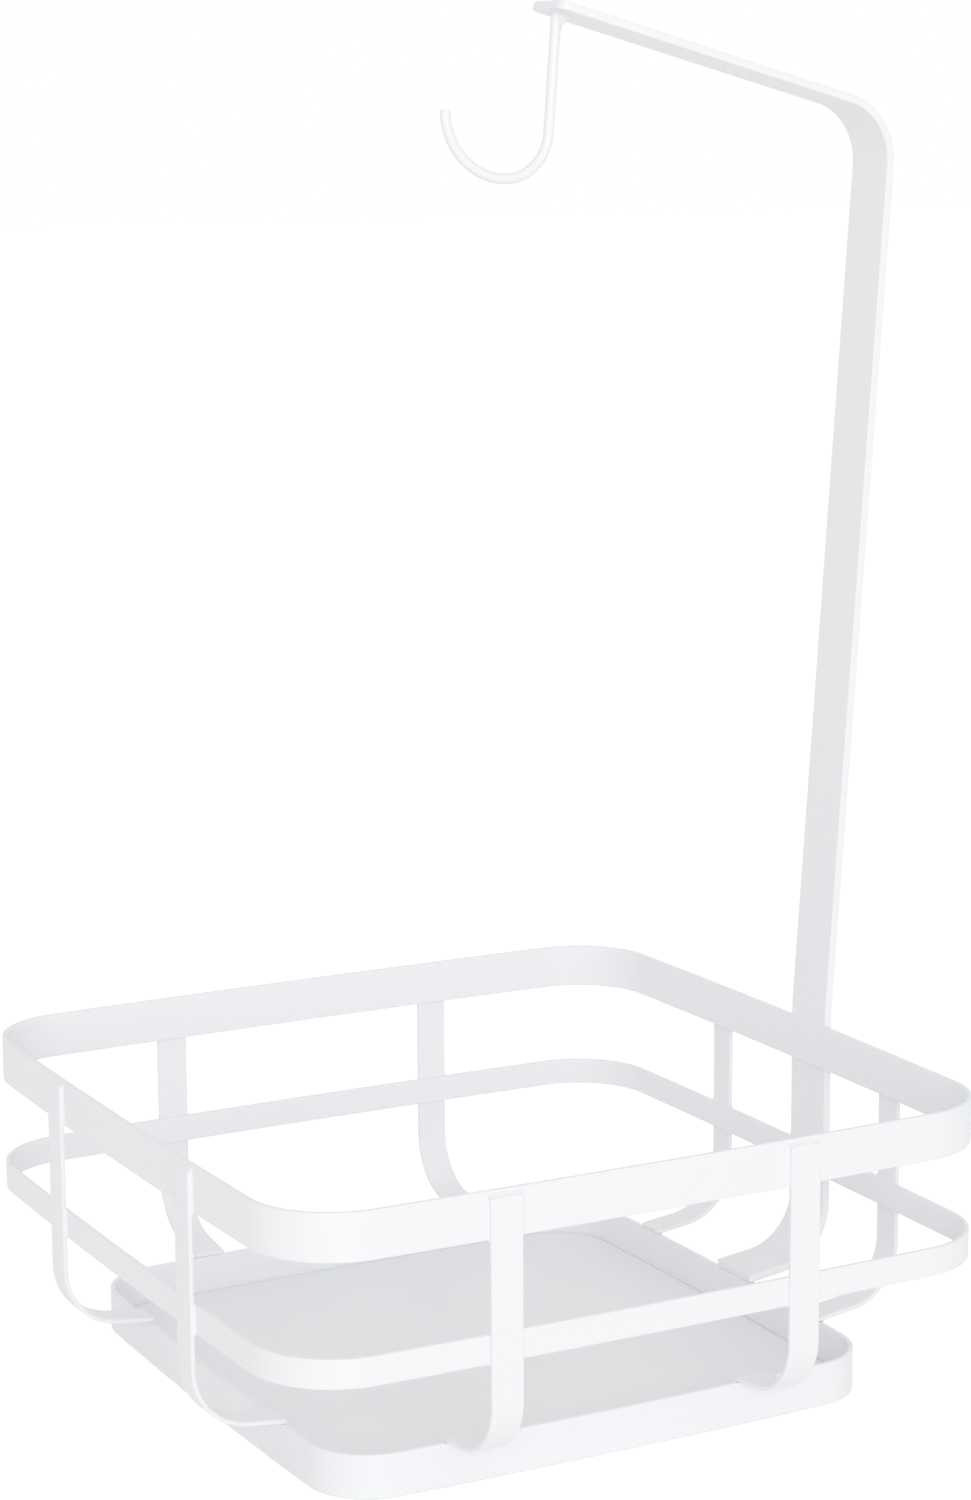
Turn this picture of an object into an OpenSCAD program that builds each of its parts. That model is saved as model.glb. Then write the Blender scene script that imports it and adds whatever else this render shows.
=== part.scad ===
// Square wire-style fruit bowl of bent flat strip with a hanger for bananas.
// Origin: centre of the base on the table. X runs towards the hanger, Z up.

/* [Basket] */
// Width of the bowl over the rim, at the middle of its sides
bowl_w = 259.5; // [220:0.5:300]
// Corner radius of the rim and the middle band, outside
corner_r = 29; // [18:1:40]
// How far each side of the rim and the band bows outwards
side_bow = 1.25; // [0.5:0.25:5]
// Height of the rim's top edge above the table
rim_top = 104; // [95:0.5:130]
// Height of the rim's strip
rim_h = 15.5; // [10:0.5:22]
// Open gap between the rim and the middle band
band_gap = 29.5; // [20:0.5:34]
// Height of the middle band's strip
band_h = 9.5; // [6:0.5:14]
// Thickness of the strip that the rim, the band and the base ring are bent from
strip_t = 1.5; // [1:0.1:3]

/* [Base] */
// How far the bowl's sides stand out past the base ring's
overhang = 28.8; // [24:0.1:45]
// Height of the base ring
base_h = 14.5; // [10:0.5:20]
// Corner radius of the base ring, outside
base_corner_r = 22; // [15:1:40]
// How far each side of the base ring bows outwards
base_bow = 1.25; // [0.5:0.25:4]
// Thickness of the floor plate
floor_t = 1.5; // [1:0.1:3]
// Gap left around the floor plate inside the base ring
floor_gap = 0.1; // [0.05:0.05:0.5]

/* [Straps] */
// Width of a strap
strap_w = 11; // [8:0.5:16]
// Thickness of a strap
strap_t = 1.5; // [1:0.1:3]
// Distance between the middles of the two straps on one side
strap_pitch = 106.5; // [80:0.5:130]
// How far each pair of straps sits off the middle of its side: right, back, left, front
strap_offset = [-7, 1, 3, -4]; // [-15:0.5:15]
// How far a strap's top end stays below the rim's top edge
strap_drop = 2; // [0.5:0.5:5]
// Inner radius of the bend at the foot of the straps and the hanger
foot_bend_r = 20; // [14:0.5:22]
// How much the flat of a foot slopes down to the base ring, in degrees
foot_slope = 7; // [0:0.5:12]

/* [Hanger] */
// Width of the hanger's bar
hanger_w = 21; // [14:0.5:30]
// Thickness of the hanger's bar
hanger_t = 2.8; // [2:0.1:4]
// How far the hanger sits off the middle of its side
hanger_offset = -10.5; // [-20:0.5:20]
// Height above the rim at which the post starts to lean outwards
lean_start = 2; // [1:1:20]
// Radius of the slight bend where the lean starts
lean_bend_r = 60; // [40:1:90]
// Outward lean of the post, in degrees
post_lean = 4.1; // [1:0.1:8]
// Straight length of the leaning post
post_len = 291.5; // [200:0.5:340]
// Inner radius of the bend at the top
top_bend_r = 20; // [12:0.5:30]
// Rise of the arm towards its end, in degrees
arm_rise = 15; // [0:0.5:20]
// Straight length of the arm
arm_len = 116; // [80:0.5:140]
// Corner radius at the arm's end
arm_corner_r = 3.5; // [1:0.5:6]

/* [Hook] */
// Diameter of the hook's wire
wire_d = 3.4; // [2.5:0.1:5]
// Distance from the arm's end to the middle of the wire
hook_inset = 4.5; // [3:0.5:12]
// Lean of the hook's shank, in degrees
shank_lean = 4.5; // [0:0.5:8]
// Straight length of the shank
shank_len = 38; // [25:0.5:60]
// Radius of the wire's middle line on the shank side
throat_r = 15.75; // [10:0.25:20]
// Radius of the wire's middle line on the free side
tip_r = 22; // [15:0.5:26]
// How far the free side turns up, in degrees
tip_turn = 90; // [60:1:110]

/* [Hidden] */
$fn = 96;
powder_white = "whitesmoke";

// Plan of a band: corners of radius r about (c, c), sides that bow outwards between them
function corner_at(w, r, bow) = w / 2 - bow - r;
function side_r(w, r, bow) = let (c = corner_at(w, r, bow)) round((c * c + bow * bow) / (2 * bow));
// Outer face of a band at a distance y from the middle of its side
function side_x(w, r, bow, y) = let (b = side_r(w, r, bow)) w / 2 - b + sqrt(b * b - y * y);
// Inner face of a flat bar of width t about y, laid against the bowl where its side bulges most behind the bar
function seat_x(y, t) = ceil(100 * side_x(bowl_w, corner_r, side_bow, max(0, abs(y) - t / 2))) / 100;
// Points along an arc, in steps of about bend_step degrees
function arc(c, r, a, b) =
    let (n = ceil(abs(b - a) / bend_step))
    [for (i = [0 : n]) c + r * [cos(a + (b - a) * i / n), sin(a + (b - a) * i / n)]];
function reversed(list) = [for (i = [len(list) - 1 : -1 : 0]) list[i]];
bend_step = 2.5;
// Direction from the hanger's side towards the bowl, in degrees
inwards = 180;
// Overlap where a band's corner runs into its side
lap = 0.3;
// Gap left at a welded seat that isn't square to the axes
seat_gap = 0.02;

// Heights of the bands' bottom edges
rim_z = rim_top - rim_h;
band_z = rim_z - band_gap - band_h;

// Width of the base ring at the middle of its sides
base_w = bowl_w - 2 * overhang;
// Where a bar's foot ends, in line with the base ring's inner face
function foot_end(y) = round(100 * side_x(base_w, base_corner_r, base_bow, y)) / 100 - strip_t;
// Centre of the bend at a foot: x is the bar's inner face, end the foot's end, t the bar's thickness
function foot_centre(x, end, t) = [x - foot_bend_r,
    base_h + (x - foot_bend_r - end) * tan(foot_slope) + (foot_bend_r + t) / cos(foot_slope)];
// The two faces of a foot from its end to the top of the bend
function foot_inner(x, end, t) = concat(
    [[end, base_h] + t * [-sin(foot_slope), cos(foot_slope)]],
    arc(foot_centre(x, end, t), foot_bend_r, foot_slope - 90, 0));
function foot_outer(x, end, t) = concat(
    [[end, base_h]],
    arc(foot_centre(x, end, t), foot_bend_r + t, foot_slope - 90, 0));

// Path of the hanger's inner face, in the XZ plane, from the foot up
hanger_x = seat_x(hanger_offset, hanger_w);
hanger_end = foot_end(hanger_offset);
lean_centre = [hanger_x + hanger_t + lean_bend_r, rim_top + lean_start];
post_foot = lean_centre - (lean_bend_r + hanger_t) * [cos(post_lean), -sin(post_lean)];
post_head = post_foot + post_len * [sin(post_lean), cos(post_lean)];
top_centre = post_head - top_bend_r * [cos(post_lean), -sin(post_lean)];
arm_dir = [-cos(arm_rise), sin(arm_rise)];
arm_up = [sin(arm_rise), cos(arm_rise)];
arm_root = top_centre + top_bend_r * arm_up;
arm_tip = arm_root + arm_len * arm_dir;

// Lowest point of the hook's middle line, found from the shank's top under the arm
hook_root = arm_tip - hook_inset * arm_dir;
shank_foot = hook_root - shank_len * [sin(shank_lean), cos(shank_lean)];
hook_low = shank_foot - throat_r * [cos(shank_lean), 1 - sin(shank_lean)];

// Outline of a bowed square with rounded corners
module plan(w, r, bow) {
    c = corner_at(w, r, bow);
    b = side_r(w, r, bow);
    intersection() {
        union() {
            square([w + 2, 2 * (c + lap)], center = true);
            square([2 * (c + lap), w + 2], center = true);
        }
        for_sides(w / 2 - b) circle(b, $fn = b);
    }
    for (x = [-c, c], y = [-c, c]) translate([x, y]) circle(r);
}

// Part common to four copies of its child, moved by x and turned to the four sides
module for_sides(x) {
    intersection() {
        translate([x, 0]) children();
        translate([-x, 0]) children();
        translate([0, x]) children();
        translate([0, -x]) children();
    }
}

// Closed band of flat strip standing on edge
module band(w, r, bow, h) {
    linear_extrude(h) difference() {
        plan(w, r, bow);
        plan(w - 2 * strip_t, r - strip_t, bow);
    }
}

// Side profile in the XZ plane, given width w along Y
module bar(w) {
    rotate([90, 0, 0]) translate([0, 0, -w / 2]) linear_extrude(w) children();
}

module top_rim() {
    color(powder_white) translate([0, 0, rim_z]) band(bowl_w, corner_r, side_bow, rim_h);
}

module middle_band() {
    color(powder_white) translate([0, 0, band_z]) band(bowl_w, corner_r, side_bow, band_h);
}

module base_ring() {
    color(powder_white) band(base_w, base_corner_r, base_bow, base_h);
}

// Plate that fills the base ring
module floor_plate() {
    inset = strip_t + floor_gap;
    color(powder_white) linear_extrude(floor_t)
        plan(base_w - 2 * inset, base_corner_r - inset, base_bow);
}

// One strap: side counts quarter turns from the hanger's side, hand is 1 or -1 along that side
module strap(side, hand) {
    y = strap_offset[side] + hand * strap_pitch / 2;
    x = seat_x(y, strap_w);
    top = rim_top - strap_drop;
    inner_face = concat(foot_inner(x, foot_end(y), strap_t), [[x, top]]);
    outer_face = concat(foot_outer(x, foot_end(y), strap_t), [[x + strap_t, top]]);
    color(powder_white) rotate([0, 0, 90 * side]) translate([0, y, 0])
        bar(strap_w) polygon(concat(inner_face, reversed(outer_face)));
}

// Bar from the base ring up the outside of the bowl and over it
module hanger() {
    inner_face = concat(
        foot_inner(hanger_x, hanger_end, hanger_t),
        arc(lean_centre, lean_bend_r + hanger_t, inwards, inwards - post_lean),
        arc(top_centre, top_bend_r, -post_lean, 90 - arm_rise),
        [arm_tip]);
    outer_face = concat(
        foot_outer(hanger_x, hanger_end, hanger_t),
        arc(lean_centre, lean_bend_r, inwards, inwards - post_lean),
        arc(top_centre, top_bend_r + hanger_t, -post_lean, 90 - arm_rise),
        [arm_tip + hanger_t * arm_up]);
    color(powder_white) difference() {
        translate([0, hanger_offset, 0]) bar(hanger_w) polygon(concat(inner_face, reversed(outer_face)));
        at_arm_tip() arm_corners();
    }
}

// Frame at the arm's end: X along the arm towards the post, Z up through its thickness
module at_arm_tip() {
    translate([arm_tip[0], hanger_offset, arm_tip[1]]) rotate([0, arm_rise, 0]) children();
}

// What is cut away to round the two corners of the arm's end
module arm_corners() {
    for (hand = [-1, 1]) scale([1, hand, 1])
        translate([0, 0, -1]) linear_extrude(hanger_t + 2) difference() {
            translate([-1, hanger_w / 2 - arm_corner_r]) square(arm_corner_r + 1);
            translate([arm_corner_r, hanger_w / 2 - arm_corner_r]) circle(arm_corner_r + 0.02);
        }
}

// Round wire hook, its upper end cut to lie flat under the arm
module hook() {
    color(powder_white) difference() {
        translate([hook_low[0], hanger_offset, hook_low[1]]) hook_wire();
        at_arm_tip() translate([-hook_inset, -2 * wire_d, -seat_gap])
            cube([3 * hook_inset, 4 * wire_d, 2 * wire_d]);
    }
}

// Hook's wire with its lowest point at the origin, opening away from the post
module hook_wire() {
    wire_r = wire_d / 2;
    wire_arc(throat_r, -90, 90 - shank_lean);
    translate([0, 0, throat_r]) rotate([0, shank_lean, 0]) translate([throat_r, 0, 0]) {
        sphere(wire_r + 0.01);
        cylinder(h = shank_len + wire_d, r = wire_r);
    }
    wire_arc(tip_r, -90, -tip_turn);
}

// Arc of wire of radius r over the origin, from angle a by turn
module wire_arc(r, a, turn) {
    translate([0, 0, r]) rotate([90, 0, 0]) rotate([0, 0, min(a, a + turn)])
        rotate_extrude(angle = abs(turn)) translate([r, 0]) circle(d = wire_d);
}

top_rim();
middle_band();
base_ring();
floor_plate();
strap(0, -1);  // right_strap_near
strap(0, 1);  // right_strap_far
strap(1, -1);  // back_strap_right
strap(1, 1);  // back_strap_left
strap(2, -1);  // left_strap_far
strap(2, 1);  // left_strap_near
strap(3, -1);  // front_strap_left
strap(3, 1);  // front_strap_right
hanger();
hook();
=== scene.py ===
# Looks and studio for a bowl of bent steel strip with a fixed hanger and hook.
import math

import bmesh
import bpy
from mathutils import Matrix, Vector
from mathutils.bvhtree import BVHTree


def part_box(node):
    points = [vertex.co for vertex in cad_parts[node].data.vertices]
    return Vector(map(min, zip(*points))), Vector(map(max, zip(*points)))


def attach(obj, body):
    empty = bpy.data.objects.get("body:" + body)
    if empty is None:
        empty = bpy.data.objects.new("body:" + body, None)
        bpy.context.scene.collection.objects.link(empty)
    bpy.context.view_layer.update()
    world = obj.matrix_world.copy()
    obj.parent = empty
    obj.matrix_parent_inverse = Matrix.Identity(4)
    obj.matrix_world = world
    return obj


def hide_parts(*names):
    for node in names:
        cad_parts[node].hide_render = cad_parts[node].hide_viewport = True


MM = 0.001

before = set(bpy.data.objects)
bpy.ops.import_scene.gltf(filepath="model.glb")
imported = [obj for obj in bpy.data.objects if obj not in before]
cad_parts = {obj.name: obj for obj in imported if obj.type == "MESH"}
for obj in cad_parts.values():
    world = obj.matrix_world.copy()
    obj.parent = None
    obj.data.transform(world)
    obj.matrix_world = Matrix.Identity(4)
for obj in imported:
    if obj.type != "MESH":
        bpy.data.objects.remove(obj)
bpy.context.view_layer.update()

EDGE_RADIUS = 0.4 * MM    # of the rolled strip with its coat
FILLET_SIZE = 0.7 * MM    # of weld and powder in the joints
OUTSIDE = 1.0             # metres from the middle, clear of the whole object


# Colours, nodes and materials

def colour(hex_code):
    """Linear RGBA of an sRGB hex colour such as "f4f5f7"."""
    channels = [int(hex_code[i:i + 2], 16) / 255 for i in (0, 2, 4)]
    return [c / 12.92 if c <= 0.04045 else ((c + 0.055) / 1.055) ** 2.4 for c in channels] + [1]


def add_node(tree, kind, inputs=None, **settings):
    """A node with its settings made, each input given a value or a link from another node's socket."""
    node = tree.nodes.new(kind)
    for name, value in settings.items():
        setattr(node, name, value)
    for name, value in (inputs or {}).items():
        if isinstance(value, bpy.types.NodeSocket):
            tree.links.new(value, node.inputs[name])
        else:
            node.inputs[name].default_value = value
    return node


def new_material(name):
    """An empty node material and its tree."""
    material = bpy.data.materials.new(name)
    material.use_nodes = True
    material.node_tree.nodes.clear()
    return material, material.node_tree


def powder_coat():
    """White polyester powder coat, sprayed dry on steel strip and baked: an even satin skin, so highlights
    are broad and soft, with the faint orange peel of melted powder."""
    material, tree = new_material("satin_white_powder_coat")
    where = add_node(tree, "ShaderNodeTexCoord").outputs["Object"]
    # Orange peel: swells about 1.4 mm across and a few microns high
    swell_width, peel_height = 1.4 * MM, 0.02 * MM
    peel = add_node(tree, "ShaderNodeTexNoise", {
        "Vector": where, "Scale": 1 / swell_width, "Detail": 2.0, "Roughness": 0.45})
    # Film thickness drifts over some 30 mm, which moves the gloss a little
    drift_width = 30 * MM
    glossiest, dullest = 0.36, 0.46
    drift = add_node(tree, "ShaderNodeTexNoise", {"Vector": where, "Scale": 1 / drift_width, "Detail": 1.0})
    gloss = add_node(tree, "ShaderNodeMapRange", {
        "Value": drift.outputs["Fac"], "To Min": glossiest, "To Max": dullest})
    bump = add_node(tree, "ShaderNodeBump", {
        "Height": peel.outputs["Fac"], "Strength": 0.25, "Distance": peel_height})
    skin = add_node(tree, "ShaderNodeBsdfPrincipled", {
        "Base Color": colour("f4f5f7"), "Roughness": gloss.outputs["Result"], "IOR": 1.5,
        "Normal": bump.outputs["Normal"]})
    add_node(tree, "ShaderNodeOutputMaterial", {"Surface": skin.outputs["BSDF"]})
    return material


def seen_directly(tree):
    """A socket that is 1 for what the camera sees, also in a reflection or through glass, and 0 for soft
    light."""
    path = add_node(tree, "ShaderNodeLightPath").outputs
    mirrored = add_node(tree, "ShaderNodeMath", {0: path["Is Camera Ray"], 1: path["Is Glossy Ray"]},
                        operation="MAXIMUM")
    return add_node(tree, "ShaderNodeMath", {0: mirrored.outputs[0], 1: path["Is Transmission Ray"]},
                    operation="MAXIMUM").outputs[0]


def white_sweep():
    """Matt white paper: pure white where it is seen and no shadow falls, with only the object's shadow on
    it. The soft light that it throws back comes from the plain paper, without the glow."""
    material, tree = new_material("white_paper_sweep")
    paper = add_node(tree, "ShaderNodeBsdfDiffuse", {"Color": colour("fafafa")})
    seen = add_node(tree, "ShaderNodeBsdfDiffuse", {"Color": colour("e1e1e2")})
    glow = add_node(tree, "ShaderNodeEmission", {"Color": colour("ffffff"), "Strength": 0.45})
    bright = add_node(tree, "ShaderNodeAddShader", {0: seen.outputs[0], 1: glow.outputs[0]})
    mix = add_node(tree, "ShaderNodeMixShader", {
        0: seen_directly(tree), 1: paper.outputs[0], 2: bright.outputs[0]})
    add_node(tree, "ShaderNodeOutputMaterial", {"Surface": mix.outputs[0]})
    return material


# Pieces

def add_piece(piece):
    """Puts a finished piece, which already has the coat's finish, in the scene, fixed to the one body."""
    bpy.context.collection.objects.link(piece)
    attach(piece, "root")


def rounded_edges(node, radius, material):
    """Copy of a CAD node with the small radius that rolled strip and its coat give every edge."""
    same_point = 0.001 * MM
    flat, corner = math.radians(0.2), math.radians(40)
    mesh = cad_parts[node].data.copy()
    mesh.name = node + "_coated"
    shape = bmesh.new()
    shape.from_mesh(mesh)
    bmesh.ops.remove_doubles(shape, verts=shape.verts, dist=same_point)
    bmesh.ops.dissolve_limit(shape, angle_limit=flat, verts=shape.verts, edges=shape.edges)
    for face in shape.faces:
        face.smooth = True
    shape.to_mesh(mesh)
    shape.free()
    mesh.materials.clear()
    mesh.materials.append(material)
    piece = bpy.data.objects.new(node + "_coated", mesh)
    bevel = piece.modifiers.new("edge", "BEVEL")
    bevel.width = radius
    bevel.segments = 3
    bevel.limit_method = "ANGLE"
    bevel.angle_limit = corner
    bevel.use_clamp_overlap = True
    normals = piece.modifiers.new("flat faces stay flat", "WEIGHTED_NORMAL")
    normals.keep_sharp = False
    add_piece(piece)
    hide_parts(node)


def first_face(node, start, direction):
    """Where a ray from start first meets a CAD node."""
    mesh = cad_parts[node].data
    tree = BVHTree.FromPolygons([v.co for v in mesh.vertices], [f.vertices for f in mesh.polygons])
    return tree.ray_cast(start, direction)[0]


def joint_lines(bar, size):
    """The inside corners where a strap or the hanger is welded to the bands and the base ring.

    Each is a middle point, the directions that lead away from the corner along its two faces, the fillet's
    size and its length. They are worked out on the +X side and turned to the side where the bar stands. A
    strap's top end runs out into the rim over the strap's whole thickness, so no step shows there.
    """
    low, high = (Vector(corner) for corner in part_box(bar))
    centre = (low + high) / 2
    side = round(math.degrees(math.atan2(centre.y, centre.x)) / 90) % 4
    turn = Matrix.Rotation(math.radians(90 * side), 3, "Z")
    first, last = (turn.inverted() @ corner for corner in (low, high))
    y0 = (first.y + last.y) / 2
    width = abs(first.y - last.y)
    out, along, up = Vector((1, 0, 0)), Vector((0, 1, 0)), Vector((0, 0, 1))

    def across(node, start, direction):
        """How far out from the middle a ray first meets a node."""
        return (turn.inverted() @ first_face(node, turn @ start, turn @ direction)).x

    lines = []
    for band in ("top_rim", "middle_band"):
        bottom, top = (corner[2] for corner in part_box(band))
        middle = (bottom + top) / 2
        seat = across(bar, Vector((0, y0, middle)), out)
        thickness = across(bar, Vector((OUTSIDE, y0, middle)), -out) - seat
        end = min(top, high.z)
        for hand in (-1, 1):
            y = y0 + hand * width / 2
            face = across(band, Vector((OUTSIDE, y, middle)), -out)
            lines.append((Vector((face, y, (bottom + end) / 2)), hand * along, out, size, end - bottom))
        lines.append((Vector((seat, y0, bottom)), -up, -out, size, width))
        if high.z > top:
            lines.append((Vector((seat, y0, top)), up, -out, size, width))
        else:
            lines.append((Vector((seat, y0, high.z)), up, out, thickness, width))
    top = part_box("base_ring")[1][2]
    face = across("base_ring", Vector((OUTSIDE, y0, top / 2)), -out)
    lines.append((Vector((face, y0, top)), -up, out, size, width))
    return [(turn @ place, turn @ a, turn @ b, wide, length) for place, a, b, wide, length in lines]


def fillet_tree():
    """Geometry Nodes: a bar with a hollow face, one metre in size and length, laid into every corner that a
    point stands for and stretched to the point's own size and length. Hollow and Depth are parts of its
    size."""
    tree = bpy.data.node_groups.new("coat_fillets", "GeometryNodeTree")
    tree.interface.new_socket("Geometry", in_out="INPUT", socket_type="NodeSocketGeometry")
    for label in ("Hollow", "Depth"):
        tree.interface.new_socket(label, in_out="INPUT", socket_type="NodeSocketFloat")
    tree.interface.new_socket("Material", in_out="INPUT", socket_type="NodeSocketMaterial")
    tree.interface.new_socket("Geometry", in_out="OUTPUT", socket_type="NodeSocketGeometry")
    given = add_node(tree, "NodeGroupInput").outputs
    behind = add_node(tree, "ShaderNodeMath", {0: given["Depth"], 1: -1.0},
                      operation="MULTIPLY").outputs[0]
    corners = {"Point 1": (behind, behind), "Point 2": (1.0, behind),
               "Point 3": (given["Hollow"], given["Hollow"]), "Point 4": (behind, 1.0)}
    section = add_node(tree, "GeometryNodeCurvePrimitiveQuadrilateral", {
        label: add_node(tree, "ShaderNodeCombineXYZ", {"X": x, "Y": y}).outputs[0]
        for label, (x, y) in corners.items()}, mode="POINTS")
    path = add_node(tree, "GeometryNodeCurvePrimitiveLine", {"Start": (0, 0, -0.5), "End": (0, 0, 0.5)})
    bar = add_node(tree, "GeometryNodeCurveToMesh", {
        "Curve": path.outputs[0], "Profile Curve": section.outputs[0], "Fill Caps": True})
    flat = add_node(tree, "GeometryNodeSetShadeSmooth", {
        "Geometry": bar.outputs[0], "Shade Smooth": False})
    turn, stretch = (add_node(tree, "GeometryNodeInputNamedAttribute", {"Name": label},
                              data_type="FLOAT_VECTOR").outputs[0] for label in ("turn", "stretch"))
    laid = add_node(tree, "GeometryNodeInstanceOnPoints", {
        "Points": given["Geometry"], "Instance": flat.outputs[0],
        "Rotation": add_node(tree, "FunctionNodeEulerToRotation", {"Euler": turn}).outputs[0],
        "Scale": stretch})
    real = add_node(tree, "GeometryNodeRealizeInstances", {"Geometry": laid.outputs[0]})
    coated = add_node(tree, "GeometryNodeSetMaterial", {
        "Geometry": real.outputs[0], "Material": given["Material"]})
    add_node(tree, "NodeGroupOutput", {0: coated.outputs[0]})
    return tree


def coat_fillets(name, lines, material):
    """One mesh of small fillets of weld and powder along the given corners."""
    cloud = bpy.data.meshes.new(name + "_points")
    cloud.from_pydata([line[0] for line in lines], [], [])
    turn = cloud.attributes.new("turn", "FLOAT_VECTOR", "POINT")
    stretch = cloud.attributes.new("stretch", "FLOAT_VECTOR", "POINT")
    for i, (_, a, b, wide, length) in enumerate(lines):
        axes = Matrix((a, b, a.cross(b))).transposed()
        turn.data[i].vector = axes.to_euler()
        stretch.data[i].vector = (wide, wide, length)
    base = bpy.data.objects.new(name + "_points", cloud)
    bpy.context.collection.objects.link(base)
    nodes = base.modifiers.new("fillets", "NODES")
    nodes.node_group = fillet_tree()
    values = {"Hollow": 0.3, "Depth": 0.3, "Material": material}
    for item in nodes.node_group.interface.items_tree:
        if item.in_out == "INPUT" and item.name in values:
            nodes[item.identifier] = values[item.name]
    seen = base.evaluated_get(bpy.context.evaluated_depsgraph_get())
    mesh = bpy.data.meshes.new_from_object(seen)
    mesh.name = name
    bpy.data.objects.remove(base)
    add_piece(bpy.data.objects.new(name, mesh))


def hook_weld(material):
    """Weld that joins the hook's wire to the arm: it runs well out towards the post and is thin elsewhere.

    Each strand of it is a curve that leaves the arm's underside flat and ends flat on the wire.
    """
    end_depth, look_down = 2 * MM, 12 * MM      # to find the wire's cut end, and its sides below that
    same_way = 0.999                            # cosine between faces that count as one flat face
    reach_mm, post_reach_mm = 0.6, 7.4          # all round, and what is added towards the post
    sunk = 0.07 * MM                            # into arm and wire, so no gap shows
    around, rings = 48, 10
    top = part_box("hook")[1][2]
    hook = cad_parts["hook"].data
    near_top = [face for face in hook.polygons if face.center.z > top - end_depth]
    # The cut end that faces the arm has the largest face there
    arm_up = max(near_top, key=lambda face: face.area).normal.copy()
    seat = [face for face in near_top if face.normal.dot(arm_up) > same_way]
    root = sum((face.center * face.area for face in seat), Vector()) / sum(face.area for face in seat)
    # The wire's axis, from its two sides a little lower down
    lower = root.z - look_down
    left = first_face("hook", Vector((-OUTSIDE, root.y, lower)), Vector((1, 0, 0)))
    right = first_face("hook", Vector((OUTSIDE, root.y, lower)), Vector((-1, 0, 0)))
    axis = ((left + right) / 2 - root).normalized()
    wire_r = (right.x - left.x) / 2 * abs(axis.z)
    across = Vector((0, 1, 0))
    along_arm = across.cross(arm_up).normalized()
    along_wire = (along_arm - along_arm.dot(axis) * axis).normalized()
    shape = bmesh.new()
    rows = [[] for _ in range(rings + 1)]
    for i in range(around):
        angle = 2 * math.pi * i / around
        reach = (reach_mm + post_reach_mm * max(0.0, math.cos(angle)) ** 3) * MM
        on_arm = math.cos(angle) * along_arm + math.sin(angle) * across
        on_wire = math.cos(angle) * along_wire + math.sin(angle) * across
        out = root + on_arm * (wire_r + reach) + arm_up * sunk
        corner = root + on_arm * wire_r + arm_up * sunk
        down = root + axis * reach + on_wire * (wire_r - sunk)
        for k, row in enumerate(rows):
            t = k / rings
            row.append(shape.verts.new((1 - t) ** 2 * out + 2 * t * (1 - t) * corner + t ** 2 * down))
    for upper_row, lower_row in zip(rows, rows[1:]):
        for i in range(around):
            j = (i + 1) % around
            shape.faces.new((upper_row[i], upper_row[j], lower_row[j], lower_row[i])).smooth = True
    shape.faces.new(rows[0])
    shape.faces.new(rows[-1])
    bmesh.ops.recalc_face_normals(shape, faces=shape.faces)
    mesh = bpy.data.meshes.new("hook_weld")
    shape.to_mesh(mesh)
    shape.free()
    mesh.materials.append(material)
    add_piece(bpy.data.objects.new("hook_weld", mesh))


coat = powder_coat()
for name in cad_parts:
    rounded_edges(name, EDGE_RADIUS, coat)
bars = [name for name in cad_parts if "strap" in name or name == "hanger"]
coat_fillets("joint_fillets", [line for bar in bars for line in joint_lines(bar, FILLET_SIZE)], coat)
hook_weld(coat)


# Studio

def soft_lamp(name, place, aim, size, power):
    """Square soft box, in metres and watts."""
    data = bpy.data.lights.new(name, "AREA")
    data.shape = "SQUARE"
    data.size = size
    data.energy = power
    lamp = bpy.data.objects.new(name, data)
    lamp.location = place
    lamp.rotation_euler = (Vector(aim) - Vector(place)).to_track_quat("-Z", "Y").to_euler()
    bpy.context.collection.objects.link(lamp)


def paper_floor():
    """Wide flat floor under the object."""
    half = 12.0    # metres, past all that the camera sees of it
    corners = [(-half, -half, 0), (half, -half, 0), (half, half, 0), (-half, half, 0)]
    mesh = bpy.data.meshes.new("floor")
    mesh.from_pydata(corners, [], [(0, 1, 2, 3)])
    mesh.materials.append(white_sweep())
    floor = bpy.data.objects.new("floor", mesh)
    bpy.context.collection.objects.link(floor)


def sky():
    """Even pale light from all round, pure white where it is seen."""
    soft_light, white = 0.75, 1.0
    world = bpy.data.worlds.new("studio")
    bpy.context.scene.world = world
    world.use_nodes = True
    tree = world.node_tree
    tree.nodes.clear()
    strength = add_node(tree, "ShaderNodeMapRange", {
        "Value": seen_directly(tree), "To Min": soft_light, "To Max": white})
    back = add_node(tree, "ShaderNodeBackground", {
        "Color": colour("ffffff"), "Strength": strength.outputs["Result"]})
    add_node(tree, "ShaderNodeOutputWorld", {"Surface": back.outputs[0]})


def photo_camera():
    """Camera where the photograph was taken from, fitted to the strips' edges in it."""
    photo_height, focal_length = 1500, 3438    # pixels
    place = Vector((-527.7, -993.8, 418.4)) * MM
    heading, pitch, roll = (math.radians(angle) for angle in (28.261, -10.450, -0.327))
    data = bpy.data.cameras.new("camera")
    data.sensor_fit = "VERTICAL"
    data.sensor_height = 24
    data.lens = focal_length / photo_height * data.sensor_height
    data.clip_start, data.clip_end = 0.05, 60    # metres
    camera = bpy.data.objects.new("camera", data)
    aim = Matrix.Rotation(-heading, 4, "Z") @ Matrix.Rotation(math.pi / 2 + pitch, 4, "X")
    camera.matrix_world = Matrix.Translation(place) @ (aim @ Matrix.Rotation(roll, 4, "Z"))
    bpy.context.collection.objects.link(camera)
    bpy.context.scene.camera = camera


paper_floor()
sky()
soft_lamp("front_box", place=(-1.3, -3.7, 0.85), aim=(0, 0, 0.1), size=2.5, power=51)
photo_camera()
bpy.context.scene.view_settings.view_transform = "Standard"
